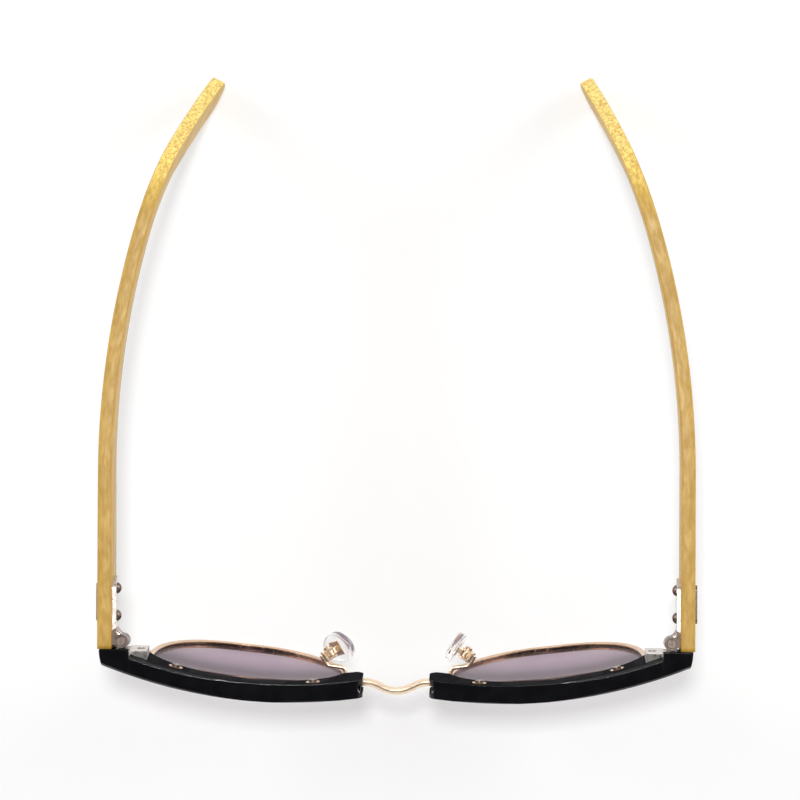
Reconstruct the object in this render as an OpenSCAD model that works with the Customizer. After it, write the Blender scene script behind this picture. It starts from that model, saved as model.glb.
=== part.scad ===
// Browline sunglasses with bamboo temples, as worn: +Z up, the front faces -Y and the temples run to +Y.
// Sizes are in millimetres. The origin is on the surface it stands on, below the middle of its box.

/* [Front] */
// Reach of an end piece outwards from the edge of the lens
end_reach = 11; // [10:0.5:12]
// Lean of the front, with its lower edge towards the cheeks, in degrees
front_lean = 8; // [6:0.5:9]
// Gap between the nose ends of the two brow bars
brow_gap = 16; // [14:0.5:18]
// Distance from the middle to the foremost point of a brow
brow_apex_x = 24; // [21:1:27]
// Reach of that foremost point in front of the temple seat
brow_reach = 12.1; // [11.7:0.1:12.7]
// Depth of a brow bar from front to back
brow_depth = 4.4; // [4.2:0.1:4.8]
// Depth of an end piece at its outer edge, which with the reach sets the curve of a brow
end_d = 2.7; // [2.4:0.1:3]
// Height of a brow bar above the lens
brow_rise = 6.5; // [6:0.25:7.5]
// Overlap of a brow over the edge of the lens
brow_lap = 1.2; // [1:0.1:1.5]
// Least wall of a brow in front of the rim, which sits in a rabbet open to the back
brow_wall = 0.4; // [0.3:0.05:0.6]
// Chamfer along the top edges of a brow
brow_chamfer = 0.5; // [0.3:0.1:0.7]
// Where the bevelled facet of a brow starts, measured from the middle
facet_x = 40; // [37:0.5:43]
// Angle at which that facet widens towards the nose, in degrees
facet_angle = 3.6; // [3:0.2:4]
// Radius of the arch along the top of a brow, seen from the front
brow_arch_r = 520; // [460:10:700]
// Distance from the middle to the highest point of that arch
brow_arch_x = 58; // [54:1:62]
// Length of the leg that a brow sends down beside the nose, below the top of the lens
nose_leg = 6; // [5:0.5:7]
// Width of an end piece
end_w = 7.2; // [6.8:0.1:7.6]
// Rise of the brow above the top of the temple
brow_crown = 0.3; // [0.1:0.1:0.8]

/* [Lens and rim] */
// Width of a lens
lens_w = 47; // [45:0.5:49]
// Distance between the two lenses
lens_gap = 26; // [25:0.5:27.5]
// Height of a lens above its widest line
lens_up = 11; // [10:0.5:12]
// Height of a lens below its widest line
lens_down = 27.8; // [25:0.2:29]
// Squareness of the upper half of a lens, where 2 is an ellipse
lens_up_power = 3; // [2.4:0.1:3.4]
// Squareness of the lower half of a lens towards the nose
lens_nose_power = 2.05; // [1.9:0.05:2.4]
// Squareness of the lower half of a lens towards the temple
lens_side_power = 2.55; // [2.3:0.05:2.8]
// Thickness of a lens
lens_t = 1.3; // [1.1:0.1:1.6]
// Wall of a rim outside the lens
rim_wall = 0.65; // [0.5:0.05:0.9]
// How far the lips of a rim reach over the lens
rim_bite = 0.4; // [0.3:0.05:0.6]
// Thickness of each lip of a rim
rim_lip = 0.3; // [0.25:0.05:0.45]
// Width of the block that closes a rim
block_w = 2.4; // [2.2:0.1:3]
// Height of the block that closes a rim
block_h = 5; // [4:0.5:6]
// Slit between the two halves of the block
block_slit = 0.3; // [0.2:0.05:0.5]

/* [Ears of the rim] */
// Distance of each ear from the middle of the lens
ear_spread = 16.5; // [14:0.5:18]
// Diameter of an ear
ear_d = 3.4; // [3:0.1:4]
// Thickness of an ear
ear_t = 1; // [0.8:0.1:1.2]
// Width of the neck that carries an ear
neck_w = 1.8; // [1.4:0.1:2.2]

/* [Bridge] */
// Diameter of the bridge rod
bridge_d = 1.9; // [1.6:0.1:2.2]
// Forward bow of the bridge in its own plane
bridge_bow = 2.3; // [1.6:0.1:3]
// Angle of that plane above the level, in degrees
bridge_pitch = 35; // [20:5:50]
// Height of the bridge ends below the top of the lens
bridge_drop = 3.6; // [3:0.2:4.4]
// Depth of the notch in the nose end of a brow
bridge_notch = 1.8; // [1.2:0.1:2.2]

/* [Temple] */
// Thickness of a temple
temple_t = 3.4; // [3:0.1:4]
// How far a temple stands out past the end piece
temple_proud = 0.5; // [0:0.1:1]
// Height of a temple at its root
temple_h = 12; // [11:0.5:13]
// Height of a temple where it starts to bend down
temple_mid_h = 8; // [7:0.5:9]
// Height of a temple at its tip
temple_tip_h = 9.2; // [8:0.2:10]
// Length of the straight stretch behind the seat
temple_straight = 42; // [36:1:50]
// Radius of the inward curve behind that stretch
temple_curve_r = 212; // [196:2:240]
// Distance from the seat to the downward bend
temple_bend_at = 101.5; // [96:0.5:107]
// Radius of the downward bend
temple_bend_r = 24; // [18:1:30]
// Angle of the downward bend, in degrees
temple_bend = 55; // [48:1:58]
// Length of the tip behind the bend
temple_tail = 36; // [32:1:38]
// Radius along the edges of a temple
temple_edge = 0.8; // [0.5:0.1:1.2]

/* [Hinge] */
// Diameter of a hinge barrel
barrel_d = 3.4; // [3:0.1:3.8]
// Height of a hinge barrel, all knuckles together
barrel_h = 6.8; // [6:0.2:8]
// Height of the middle knuckle
knuckle_h = 2.1; // [1.8:0.1:2.6]
// Gap between a barrel and the inner face of the temple
barrel_gap = 0.4; // [0.3:0.05:0.6]
// Thickness of both hinge leaves at the barrel
leaf_t = 0.9; // [0.8:0.05:1.1]
// Length of the temple leaf behind the seat
leaf_l = 17.5; // [17:0.5:20]
// Length of the front leaf from the barrel axis towards the lens
plate_l = 6.2; // [5.8:0.1:6.6]
// Thickness of the front leaf where it sits on the brow
plate_t = 2.2; // [1.8:0.1:2.4]
// Diameter of the hinge screw
pin_d = 1.4; // [1.2:0.1:1.6]
// Diameter of the head of the hinge screw
pin_head_d = 2.1; // [1.9:0.1:2.4]
// Height of the head of the hinge screw
pin_head_h = 0.5; // [0.4:0.1:0.7]

/* [Small screws] */
// Diameter of the shank of the small screws
screw_d = 1.1; // [0.9:0.1:1.2]
// Diameter of the head of the small screws
screw_head_d = 2; // [1.8:0.1:2.2]
// Height of the head of the small screws
screw_head_h = 0.6; // [0.5:0.1:0.8]
// Length of the shank of the brow screws
screw_l = 2.2; // [2:0.1:2.4]
// Width of the slot in every screw head
slot_w = 0.35; // [0.25:0.05:0.45]

/* [Plaque and rivets] */
// Length of the outer plaque of a temple
plaque_l = 9.2; // [8.8:0.1:10]
// Height of the outer plaque
plaque_h = 4.4; // [3.6:0.2:5.4]
// Thickness of the outer plaque
plaque_t = 0.6; // [0.4:0.1:0.8]
// Diameter of the two pins of the plaque
rivet_d = 1.6; // [1.3:0.1:1.8]
// Distance from the seat to the first pin
rivet_at = 7.9; // [7.5:0.1:8.5]
// Distance between the two pins
rivet_pitch = 6.6; // [6:0.1:7]
// Diameter of a rivet cap
cap_d = 2.8; // [2.4:0.1:3.2]
// Height of a rivet cap
cap_h = 1; // [0.8:0.1:1.2]

/* [Nose pads] */
// Height of a nose pad
pad_h = 13.6; // [12:0.2:15]
// Width of a nose pad
pad_w = 7.6; // [7:0.2:8.4]
// Thickness of a nose pad at its middle
pad_t = 2.2; // [1.8:0.1:2.6]
// Radius of the domed face of a nose pad
pad_dome_r = 22; // [18:1:30]
// Angle at which the pads open towards the back, in degrees
pad_flare = 31; // [26:1:36]
// Angle at which the left pad leans out at its foot, in degrees
pad_splay_left = 36; // [32:1:38]
// Angle at which the right pad leans out at its foot, in degrees
pad_splay_right = 11; // [10:1:14]
// Angle of the clasp boxes, in degrees
box_splay = 19; // [17:1:21]
// Distance of the clasp screw from the nasal edge of the lens
pad_inset = 3.6; // [3.2:0.1:4.2]
// Distance of the clasp screw behind the rim
pad_setback = 4.9; // [4.8:0.1:5.6]
// Height of the clasp screw below the widest line of the lens
pad_drop = 3.6; // [2.5:0.1:5]
// Distance from the clasp screw to the back of the pad
pad_reach = 2.2; // [2:0.1:2.6]
// Diameter of the pad arm wire
wire_d = 1.1; // [0.9:0.1:1.3]
// Radius of the bends in the pad arm wire
wire_r = 1.3; // [1.1:0.1:1.4]
// Angle by which the wire swings wide before it runs along the box, in degrees
wire_swing = 52; // [48:1:58]
// Wall of a clasp box
box_wall = 0.55; // [0.45:0.05:0.65]
// Height of a clasp box
box_h = 3; // [2.6:0.1:3.2]
// Diameter of the lug on a pad stem
lug_d = 2.2; // [2:0.1:2.4]
// Width of the lug on a pad stem
lug_w = 1.4; // [1.2:0.1:1.6]
// Thickness of the foot that holds the pad on its stem
foot_t = 0.5; // [0.4:0.05:0.6]
// Diameter of the clasp screw
clasp_d = 1; // [0.8:0.1:1.1]

/* [Clearances] */
// Gap round pieces that seat in each other
fit = 0.05; // [0.04:0.01:0.08]
// Gap round turning pins
run_fit = 0.04; // [0.03:0.01:0.06]
// Gap between the temple and its seat, and between knuckles
seat_gap = 0.15; // [0.1:0.05:0.2]

/* [Hidden] */
$fn = 40;

black = [0.07, 0.07, 0.08];
gold = [0.83, 0.66, 0.42];
silver = [0.75, 0.75, 0.76];
bronze = [0.38, 0.28, 0.20];
bamboo = [0.80, 0.65, 0.38];
smoke = [0.45, 0.40, 0.45, 0.6];
clear = [0.88, 0.90, 0.90, 0.5];

// Facets of the large curves, points along a brow and round a lens, sides of a wire and the turn between its rings
round_fn = 240;
arch_points = 12;
wire_sides = 16;
wire_step = 8;
lens_points = 96;

// Sections along each curve, the tail and the round end of a temple, how far round its end they go, and cuts per corner
curve_cuts = 8;
tail_cuts = 3;
tip_cuts = 5;
tip_sweep = 85;
corner_cuts = 2;

front_w = lens_gap + 2 * (lens_w + end_reach);
half_w = front_w / 2;
brow_top = temple_h / 2 + brow_crown;
brow_bulge = brow_reach - end_d;
brow_r = (pow(half_w - brow_apex_x, 2) + pow(brow_bulge, 2)) / 2 / brow_bulge;
back_r = brow_r - brow_depth;
arc_y = brow_r - brow_reach;
lens_x = (lens_gap + lens_w) / 2;
lens_z = brow_top - brow_rise - lens_up;
ball_z = lens_z + (lens_up - lens_down) / 2;

// Shells of the rim and the lens, which share one centre
rim_front_r = brow_r - brow_wall;
lens_front_r = rim_front_r - rim_lip - fit;
lens_back_r = lens_front_r - lens_t;
rim_back_r = lens_back_r - fit - rim_lip;
rim_grow = fit + rim_wall;
reach_y = 2 * brow_reach;

// Temple, hinge and end piece
temple_out = half_w + temple_proud;
temple_in = temple_out - temple_t;
temple_x = (temple_out + temple_in) / 2;
hinge_x = temple_in - barrel_gap - barrel_d / 2;
hinge_y = barrel_d / 2 + seat_gap;
end_x = half_w - end_w;
end_low = -temple_h / 2;
plate_x = hinge_x - plate_l;
plate_out = temple_in - leaf_t;
plate_screw_x = plate_x + screw_head_d / 2 + 2 * fit + box_wall;
side_r = 12;

// Closing block, at the outermost point of the rim
rim_out_x = lens_x + lens_w / 2 + rim_grow;
block_at = lean([rim_out_x, ball_y(rim_back_r, rim_out_x, lens_z), lens_z]);
block_x = rim_out_x - rim_wall / 2;
block_d = box_wall;
block_in = screw_head_d + box_wall;
block_screw_x = block_x + block_w / 2 + box_wall / 2;
block_screw_y = block_at.y + (block_d - block_in) / 2;

// Ears, on the back of the brow above the rim
ear_top = rim_top_z(ear_spread);
ear_z = ear_top + ear_d / 2 + rim_wall;
neck_d = max(ear_t + rim_lip, sqrt(pow(rim_back_r, 2) - pow(ear_top - ball_z, 2)) - back_r + rim_wall);

// Bridge, three tangent arcs between two straight ends
bridge_z = lens_z + lens_up - bridge_drop;
bridge_y = arc_y - (brow_r + back_r) / 2 + sag((brow_r + back_r) / 2, brow_apex_x - brow_gap / 2);
bridge_turn = 2 * atan(bridge_bow / (brow_gap / 2));
bridge_arc_r = brow_gap / 2 / sin(bridge_turn) / 2;

// Nose pads, about the clasp screw
pad_x = lens_gap / 2 + pad_inset;
pad_z = lens_z - pad_drop;
arm_x = lens_gap / 2 + rim_bite / 2 - rim_wall / 2;
arm_y = ball_y(rim_back_r, arm_x, pad_z);
pad_y = arm_y + pad_setback;
box_y = lug_w / 2 + fit + box_wall;
box_in = lug_d / 2 + 3 * fit;
box_out = box_in + box_wall;
wire_x = box_out + wire_d / 4;
wire_y = box_y + wire_d / 4;
clasp_head_d = clasp_d + 2 * slot_w;
foot_h = pad_h / 3;
foot_w = pad_w / 2;

// Path of the pad arm from the rim to the side of the box
wire_turn = pad_flare + wire_swing;
wire_goal = [
    pad_x + wire_x * cos(pad_flare) - wire_y * sin(pad_flare) - arm_x,
    pad_y - wire_x * sin(pad_flare) - wire_y * cos(pad_flare) - arm_y
];
wire_slant = (wire_goal.x - wire_r * (1 - cos(wire_turn)) + wire_r * (1 - cos(wire_swing)) * cos(wire_turn))
    / sin(wire_turn);
wire_lead = wire_goal.y - wire_r * sin(wire_turn) - wire_slant * cos(wire_turn)
    - wire_r * (1 - cos(wire_swing)) * sin(wire_turn);

// Stretches of a temple along its own length, and one degree in radians
PI_DEG = PI / 180;
bend_end = temple_bend_at + temple_bend_r * temple_bend * PI_DEG;
tip_round = temple_tip_h / 2;
tip_end = bend_end + temple_tail;
taper_at = leaf_l;
temple_stations = concat(
    [0, taper_at],
    [for (i = [0:curve_cuts]) temple_straight + (temple_bend_at - temple_straight) * i / curve_cuts],
    [for (i = [1:curve_cuts]) temple_bend_at + (bend_end - temple_bend_at) * i / curve_cuts],
    [for (i = [1:tail_cuts]) bend_end + (tip_end - tip_round - bend_end) * i / tail_cuts],
    [for (i = [1:tip_cuts]) tip_end - tip_round + tip_round * sin(tip_sweep * i / tip_cuts)]
);
temple_points = [for (u = temple_stations) temple_ring(u)];

// Box of the whole pair, which sets the origin
rim_low = min([
    for (i = [0:lens_points - 1])
        let (p = lens_point(360 * i / lens_points, rim_grow))
            lean([p.x, ball_y(rim_front_r, p.x, p.y), p.y]).z
]);
tip_low = min([for (ring = temple_points) for (p = ring) p.z]);
tip_back = max([for (ring = temple_points) for (p = ring) p.y]);
facet_at_apex = (facet_x - brow_apex_x) * tan(facet_angle) * sqrt(2);
front_y = lean([0, -brow_reach, brow_top - facet_at_apex]).y;
mid_y = (front_y + tip_back) / 2;
base_z = min(rim_low, tip_low);

// Drop of a circle of radius r at the distance d from its top
function sag(r, d) = r - sqrt(r * r - d * d);

// A point of the upright front after it is leaned back
function lean(p) = [
    p.x,
    p.y * cos(front_lean) - p.z * sin(front_lean),
    p.y * sin(front_lean) + p.z * cos(front_lean)
];

// Depth at which the lens sphere of radius r passes the point x, z
function ball_y(r, x, z) = arc_y - sqrt(r * r - pow(x - brow_apex_x, 2) - pow(z - ball_z, 2));

// Upper edge of the rim at the distance d from the middle of the lens
function rim_top_z(d) = lens_z + (lens_up + rim_grow)
    * pow(1 - pow(d / (lens_w / 2 + rim_grow), lens_up_power), 1 / lens_up_power);

// A point of the lens outline at the angle a, moved outwards by grow
function lens_point(a, grow) =
    let (
        b = sin(a) >= 0 ? lens_up : lens_down,
        n = sin(a) >= 0 ? lens_up_power : cos(a) >= 0 ? lens_side_power : lens_nose_power,
        w = lens_w / 2,
        r = pow(pow(abs(cos(a)) / w, n) + pow(abs(sin(a)) / b, n), -1 / n),
        x = r * cos(a),
        z = r * sin(a),
        gx = sign(x) * pow(abs(x) / w, n - 1) / w,
        gz = sign(z) * pow(abs(z) / b, n - 1) / b
    )
    [lens_x + x + grow * gx / norm([gx, gz]), lens_z + z + grow * gz / norm([gx, gz])];

// Downward slope, forward run and drop of a temple at the length u
function bend_at(u) = min(max((u - temple_bend_at) / temple_bend_r / PI_DEG, 0), temple_bend);
function run_at(u) = min(u, temple_bend_at) + temple_bend_r * sin(bend_at(u)) + max(u - bend_end, 0) * cos(temple_bend);
function drop_at(u) = temple_bend_r * (1 - cos(bend_at(u))) + max(u - bend_end, 0) * sin(temple_bend);

// Inward turn of a temple after the run h
function turn_at(h) = max(h - temple_straight, 0) / temple_curve_r / PI_DEG;

// Half height of a temple at the length u, with a round end
function smooth(t) = t <= 0 ? 0 : t >= 1 ? 1 : t * t * (3 - 2 * t);
function half_h(u) =
    let (
        taper = temple_h + (temple_mid_h - temple_h) * smooth((u - taper_at) / (temple_bend_at - taper_at)),
        flat = taper + (temple_tip_h - temple_mid_h) * smooth((u - temple_bend_at) / (tip_end - tip_round - temple_bend_at)),
        past = max(u - (tip_end - tip_round), 0)
    )
    flat / 2 * sqrt(1 - pow(past / tip_round, 2));

// Rounded rectangle of half sizes a and b
function round_section(a, b, r) = [
    for (k = [0:3])
        for (j = [0:corner_cuts])
            let (t = 90 * (k + j / corner_cuts))
                [(k == 0 || k == 3 ? a - r : r - a) + r * cos(t), (k < 2 ? b - r : r - b) + r * sin(t)]
];

// Points of a temple's section at the length u
function temple_ring(u) =
    let (
        h = run_at(u),
        t = turn_at(h),
        s = bend_at(u),
        b = half_h(u),
        centre = [
            temple_x - temple_curve_r * (1 - cos(t)),
            seat_gap + min(h, temple_straight) + temple_curve_r * sin(t),
            -drop_at(u)
        ],
        side = [cos(t), sin(t), 0],
        up = [-sin(t) * sin(s), cos(t) * sin(s), cos(s)]
    )
    [for (q = round_section(temple_t / 2, b, min(temple_edge, b))) centre + side * q.x + up * q.y];

// Points [x, y, heading] of tangent stretches, where [length, 0] is straight and [radius, angle] turns left.
// The heading is measured from +Y.
function wire_path(x, y, heading, steps, i = 0) =
    i == len(steps) ? [[x, y, heading]] :
    steps[i][1] == 0 ?
        concat([[x, y, heading]], wire_path(
            x - steps[i][0] * sin(heading), y + steps[i][0] * cos(heading), heading, steps, i + 1)) :
        let (
            r = sign(steps[i][1]) * steps[i][0],
            cuts = ceil(abs(steps[i][1]) / wire_step),
            turns = [for (k = [0:cuts]) heading + steps[i][1] * k / cuts],
            points = [for (t = turns) [x + r * (cos(t) - cos(heading)), y + r * (sin(t) - sin(heading)), t]],
            end = points[cuts]
        )
        concat([for (k = [0:cuts - 1]) points[k]], wire_path(end[0], end[1], end[2], steps, i + 1));

// Puts a piece in the frame of the whole pair, on the right or mirrored to the left
module placed(side = 1) {
    translate([0, -mid_y, -base_z])
        mirror([side < 0 ? 1 : 0, 0, 0])
            children();
}

module leaned() {
    rotate([front_lean, 0, 0])
        children();
}

// Carries an outline drawn in X and Z from y0 to y1
module across(y0, y1) {
    translate([0, y1, 0])
        rotate([90, 0, 0])
            linear_extrude(y1 - y0)
                children();
}

// A vertical cylinder from z0 to z1
module post(d, z0, z1) {
    translate([0, 0, z0])
        cylinder(d = d, h = z1 - z0);
}

// A cylinder along Y from y0 to y1
module bar(d, y0, y1) {
    translate([0, y1, 0])
        rotate([90, 0, 0])
            cylinder(d = d, h = y1 - y0);
}

// A slotted screw along Y, with its head from 0 to screw_head_h and its shank in front of 0
module small_screw(d, head_d, head_h, length) {
    difference() {
        union() {
            bar(d, -length, head_h / 2);
            bar(head_d, 0, head_h);
        }
        translate([-slot_w / 2, head_h / 2, -head_d])
            cube([slot_w, head_h, 2 * head_d]);
    }
}

// A solid through rings of points, each seen clockwise from its start
module loft(rings) {
    sides = len(rings[0]);
    last = len(rings) - 1;
    polyhedron(
        points = [for (ring = rings) each ring],
        faces = concat(
            [[for (j = [sides - 1:-1:0]) j]],
            [
                for (i = [0:last - 1])
                    for (j = [0:sides - 1])
                        let (a = i * sides + j, b = i * sides + (j + 1) % sides)
                            each [[a, b, b + sides], [a, b + sides, a + sides]]
            ],
            [[for (j = [0:sides - 1]) last * sides + j]]
        ),
        convexity = 6
    );
}

// A round wire along a path of points with headings
module wire(d, path) {
    loft([
        for (q = path)
            [
                for (j = [0:wire_sides - 1])
                    let (t = 360 * j / wire_sides)
                        [q[0] + d / 2 * cos(t) * cos(q[2]), q[1] + d / 2 * cos(t) * sin(q[2]), d / 2 * sin(t)]
            ]
    ]);
}

module lens_outline(grow) {
    polygon([for (i = [0:lens_points - 1]) lens_point(360 * i / lens_points, grow)]);
}

// Shell between two spheres about the centre of the lens curve
module shell(outer, inner) {
    translate([brow_apex_x, arc_y, ball_z])
        difference() {
            sphere(r = outer, $fn = round_fn);
            sphere(r = inner, $fn = round_fn);
        }
}

// A plate of the lens outline on those spheres
module lens_plate(grow, outer, inner) {
    intersection() {
        across(-reach_y, reach_y)
            lens_outline(grow);
        shell(outer, inner);
    }
}

// The solid behind the front face of a brow, as far as the radius inner
module brow_form(inner) {
    translate([brow_apex_x, arc_y, 0])
        rotate_extrude($fn = round_fn)
            polygon([
                [inner, lens_z],
                [brow_r, lens_z],
                [brow_r, brow_top - brow_chamfer],
                [brow_r - brow_chamfer, brow_top],
                [inner + brow_chamfer, brow_top],
                [inner, brow_top - brow_chamfer]
            ]);
}

// Front view of a brow bar, with rounded corners
module brow_outline() {
    low = end_low + brow_reach / 2 * sin(front_lean);
    nose_x = brow_gap / 2;
    nose_z = lens_z + lens_up - nose_leg;
    r = nose_leg / 4;
    difference() {
        offset(r = r)
            offset(delta = -r)
                polygon(concat(
                    [
                        for (i = [0:arch_points])
                            let (x = nose_x + (end_x + r - nose_x) * i / arch_points)
                                [x, brow_top - sag(brow_arch_r, brow_arch_x - x)]
                    ],
                    [
                        [end_x + r, low],
                        [lens_x, low],
                        [lens_x, nose_z],
                        [nose_x + r, nose_z],
                        [nose_x, bridge_z]
                    ]
                ));
        lens_outline(-brow_lap);
    }
}

// Places a piece on the back of the brow at the distance x from the middle
module on_back(x) {
    translate([brow_apex_x, arc_y, 0])
        rotate([0, 0, asin((x - brow_apex_x) / back_r)])
            translate([0, -back_r, 0])
                children();
}

module at_ears() {
    for (s = [-1, 1])
        on_back(lens_x + s * ear_spread)
            children();
}

// An ear and its neck, or the pocket for them, as far back as the depth back
module ear(grow, back) {
    translate([0, 0, ear_z])
        bar(ear_d + 2 * grow, -ear_t - grow, back);
    translate([-neck_w / 2 - grow, -neck_d - grow, ear_top - rim_wall])
        cube([neck_w + 2 * grow, neck_d + grow + back, ear_z - ear_top + rim_wall]);
}

// The upright end piece, with a leaned shelf for the front hinge leaf
module end_piece() {
    intersection() {
        union() {
            translate([end_x, -brow_reach, end_low])
                cube([end_w, brow_reach, 2 * temple_h]);
            leaned()
                translate([plate_x, -brow_reach, end_low])
                    cube([end_w, brow_reach - plate_t - fit, temple_h]);
        }
        translate([half_w - side_r, -fit, end_low])
            cylinder(r = side_r, h = 2 * temple_h, $fn = 2 * round_fn);
    }
}

// The bevel of a brow that widens towards the nose
module facet() {
    translate([facet_x, -brow_reach, brow_top])
        rotate([45, 0, 0])
            rotate([0, -facet_angle, 0])
                translate([-front_w / 2, -brow_reach, 0])
                    cube([front_w, 2 * brow_reach, brow_reach]);
}

// Places a piece in the plane in which the bridge is bowed
module at_bridge() {
    translate([0, bridge_y, bridge_z])
        rotate([-bridge_pitch, 0, 0])
            children();
}

module brow(side) {
    color(black)
        placed(side)
            difference() {
                intersection() {
                    leaned()
                        difference() {
                            brow_form(back_r - brow_reach);
                            facet();
                        }
                    union() {
                        intersection() {
                            leaned()
                                intersection() {
                                    brow_form(back_r);
                                    across(-reach_y, reach_y)
                                        brow_outline();
                                }
                            translate([0, -reach_y, -reach_y])
                                cube([half_w, reach_y - fit, 2 * reach_y]);
                        }
                        end_piece();
                    }
                }
                leaned() {
                    lens_plate(rim_grow + fit, rim_front_r + fit, back_r - brow_depth);
                    at_ears() {
                        ear(fit, brow_depth);
                        translate([0, 0, ear_z])
                            bar(screw_d + 2 * fit, -screw_l - 2 * fit, 0);
                    }
                    translate([0, bridge_y, bridge_z])
                        rotate([0, 90, 0])
                            post(bridge_d + 2 * fit, 0, lens_x);
                    translate([0, bridge_y - bridge_d / 2 - fit, bridge_z])
                        cube([brow_gap / 2 + bridge_notch, bridge_d + 2 * fit, brow_top]);
                }
                leaf_plate(fit, leaf_t);
                leaned()
                    translate([plate_screw_x, 0, 0])
                        bar(screw_d + 2 * fit, -plate_t - screw_l, 0);
            }
}

module rim(side) {
    color(gold)
        placed(side)
            difference() {
                union() {
                    leaned() {
                        difference() {
                            lens_plate(rim_grow, rim_front_r, rim_back_r);
                            across(-reach_y, reach_y)
                                lens_outline(-rim_bite);
                        }
                        at_ears()
                            ear(0, -fit);
                    }
                    translate([block_x, block_at.y - block_in, block_at.z - block_h / 2])
                        cube([block_w, block_in + block_d, block_h]);
                }
                leaned() {
                    lens_plate(fit, lens_front_r + fit, lens_back_r - fit);
                    at_ears()
                        translate([0, 0, ear_z])
                            bar(screw_d + 2 * fit, -brow_depth, brow_depth);
                }
                translate([block_x - block_w, block_at.y - brow_depth, block_at.z - block_slit / 2])
                    cube([3 * block_w, 2 * brow_depth, block_slit]);
                translate([block_screw_x, block_screw_y, block_at.z])
                    post(screw_d + 2 * fit, -block_h, block_h);
            }
}

module lens(side) {
    color(smoke)
        placed(side)
            leaned()
                lens_plate(0, lens_front_r, lens_back_r);
}

module bridge() {
    color(gold)
        placed()
            leaned()
                difference() {
                    at_bridge()
                        wire(bridge_d, wire_path(-lens_x, 0, -90, [
                            [lens_x - brow_gap / 2, 0],
                            [bridge_arc_r, -bridge_turn],
                            [bridge_arc_r, 2 * bridge_turn],
                            [bridge_arc_r, -bridge_turn],
                            [lens_x - brow_gap / 2, 0]
                        ]));
                    for (s = [0, 1])
                        mirror([s, 0, 0])
                            across(-reach_y, reach_y)
                                lens_outline(rim_grow + fit);
                }
}

module brow_screws() {
    color(silver)
        for (side = [-1, 1])
            placed(side)
                leaned()
                    at_ears()
                        translate([0, -fit, ear_z])
                            small_screw(screw_d, screw_head_d, screw_head_h, screw_l);
}

module rim_screw(side) {
    color(silver)
        placed(side)
            translate([block_screw_x, block_screw_y, block_at.z + block_h / 2])
                rotate([90, 0, 0])
                    small_screw(screw_d, screw_head_d, screw_head_h, block_h);
}

// The plate of the front hinge leaf, upright at the barrel and leaned towards the lens, or the pocket for it
module leaf_plate(grow, back) {
    h = barrel_h + 2 * grow;
    translate([end_x, -leaf_t - grow, -h / 2])
        cube([plate_out + grow - end_x, leaf_t + grow + back, h]);
    leaned()
        translate([plate_x - grow, -plate_t - grow, -h / 2])
            cube([end_x - plate_x + barrel_gap + grow, plate_t + grow + back, h]);
}

module hinge_front(side) {
    color(silver)
        placed(side)
            difference() {
                union() {
                    leaf_plate(0, 0);
                    translate([hinge_x - barrel_d / 4, -leaf_t / 2, -knuckle_h / 2])
                        cube([barrel_d / 2, hinge_y + leaf_t / 2, knuckle_h]);
                    translate([hinge_x, hinge_y, 0])
                        post(barrel_d, -knuckle_h / 2, knuckle_h / 2);
                }
                translate([hinge_x, hinge_y, 0])
                    post(pin_d + 2 * run_fit, -barrel_h, barrel_h);
                leaned()
                    translate([plate_screw_x, 0, 0]) {
                        bar(screw_d + 2 * fit, -brow_reach, brow_reach);
                        bar(screw_head_d + 2 * fit, -screw_head_h - fit, leaf_t);
                    }
            }
}

module hinge_plate_screws() {
    color(silver)
        for (side = [-1, 1])
            placed(side)
                leaned()
                    translate([plate_screw_x, -screw_head_h, 0])
                        small_screw(screw_d, screw_head_d, screw_head_h, plate_t - screw_head_h + screw_l);
}

// Places a piece at the clasp screw, with its own Y along the screw and its own X away from the nose
module at_clasp() {
    leaned()
        translate([pad_x, pad_y, pad_z])
            rotate([0, 0, -pad_flare])
                children();
}

module pad_arm(side) {
    color(gold)
        placed(side)
            difference() {
                union() {
                    leaned()
                        translate([0, 0, pad_z])
                            wire(wire_d, wire_path(arm_x, arm_y - rim_lip, 0, [
                                [wire_lead + rim_lip, 0],
                                [wire_r, -wire_turn],
                                [wire_slant - wire_r * sin(wire_swing), 0],
                                [wire_r, wire_swing],
                                [wire_y + box_y - box_wall, 0]
                            ]));
                    at_clasp()
                        rotate([0, -box_splay, 0])
                            difference() {
                                translate([-lug_d / 2, -box_y, -box_h / 2])
                                    cube([lug_d / 2 + box_out, 2 * box_y, box_h]);
                                translate([-lug_d, -lug_w / 2 - fit, -box_h])
                                    cube([lug_d + box_in, lug_w + 2 * fit, 2 * box_h]);
                                bar(clasp_d + 2 * fit, -2 * box_y, 2 * box_y);
                            }
                }
                leaned()
                    shell(rim_front_r + brow_depth, rim_back_r - fit);
            }
}

module pad_screw(side) {
    color(gold)
        placed(side)
            at_clasp()
                rotate([0, -box_splay, 0])
                    translate([0, box_y, 0])
                        small_screw(clasp_d, clasp_head_d, screw_head_h, 2 * box_y);
}

// Places a piece on the rocked pad
module at_pad(side) {
    at_clasp()
        rotate([0, side < 0 ? -pad_splay_left : -pad_splay_right, 0])
            children();
}

// The foot of a pad stem, or the pocket for it
module foot(grow) {
    translate([-pad_reach - foot_t - grow, -foot_w / 2 - grow, -foot_h / 2 - grow])
        cube([foot_t + grow, foot_w + 2 * grow, foot_h + 2 * grow]);
}

module pad_stem(side) {
    color(gold)
        placed(side)
            at_pad(side)
                difference() {
                    union() {
                        bar(lug_d, -lug_w / 2, lug_w / 2);
                        translate([-pad_reach - foot_t / 2, -lug_w / 2, -lug_d / 4])
                            cube([pad_reach + foot_t / 2, lug_w, lug_d / 2]);
                        foot(0);
                    }
                    bar(clasp_d + 2 * run_fit, -box_y, box_y);
                }
}

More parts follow.
